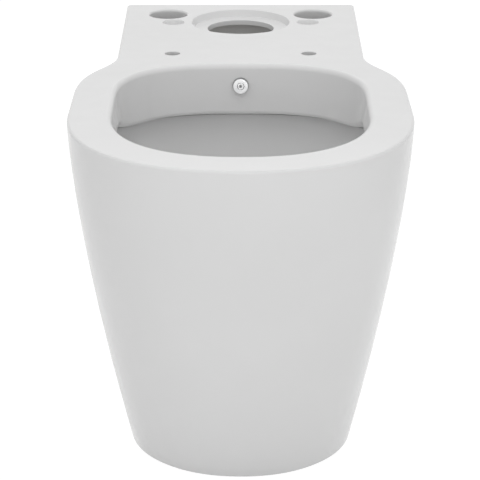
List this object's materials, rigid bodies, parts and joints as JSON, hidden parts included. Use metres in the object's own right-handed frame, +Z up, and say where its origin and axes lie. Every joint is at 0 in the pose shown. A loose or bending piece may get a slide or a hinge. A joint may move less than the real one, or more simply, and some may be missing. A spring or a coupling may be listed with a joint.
{
  "type": "bidet toilet",
  "caption": "White ceramic back-to-wall toilet pan with a D-shaped bowl, a deck for a close-coupled cistern and a seat, and a bidet jet in its rear rim wall.",
  "frame": {"origin": "on the floor, in the middle of the footprint's bounding box", "axes": "+Z up, -Y towards the front of the bowl, +Y towards the wall behind the pan"},
  "size_m": [0.3592, 0.67, 0.4],
  "materials": {
    "glazed_china": "white high-gloss vitreous glaze",
    "chrome": "polished chrome plate",
    "seal_rubber": "moulded black rubber",
    "valve_brass": "machined brass",
    "copper_tube": null,
    "valve_plastic": "natural acetal",
    "spring_steel": "drawn stainless spring wire",
    "cap_plastic": "white gloss moulding",
    "bush_plastic": "white nylon",
    "screw_steel": "turned stainless steel",
    "bracket_steel": "zinc-plated pressed steel"
  },
  "bodies": {
    "pan": {"ceramic_pan": "glazed_china", "jet_body": "chrome", "jet_insert": "chrome", "jet_flange_seal": "seal_rubber", "jet_rear_seal": "seal_rubber", "jet_slip_washer": "screw_steel", "jet_backnut": "valve_brass", "supply_cone_nut": "valve_brass", "supply_cone_seal": "seal_rubber", "supply_tube": "copper_tube", "supply_compression_nut": "valve_brass", "supply_olive": "valve_brass", "valve_housing": "valve_brass", "valve_guide": "valve_plastic", "valve_spring": "spring_steel", "valve_seat": "valve_brass", "valve_seal_ring": "seal_rubber", "fixing_bush_left": "bush_plastic", "fixing_screw_left": "screw_steel", "fixing_cap_left": "cap_plastic", "fixing_bracket_left": "bracket_steel", "fixing_bush_right": "bush_plastic", "fixing_screw_right": "screw_steel", "fixing_cap_right": "cap_plastic", "fixing_bracket_right": "bracket_steel"},
    "poppet": {"valve_poppet": "valve_plastic"}
  },
  "joints": [
    {"name": "poppet_slide", "type": "slide", "parent": "pan", "child": "poppet", "axis": [0, 0, 1], "range_m": [0, 0.0025], "stiffness_N_per_m": 100, "springref_m": -0.003, "deforming": ["valve_spring"]}
  ]
}
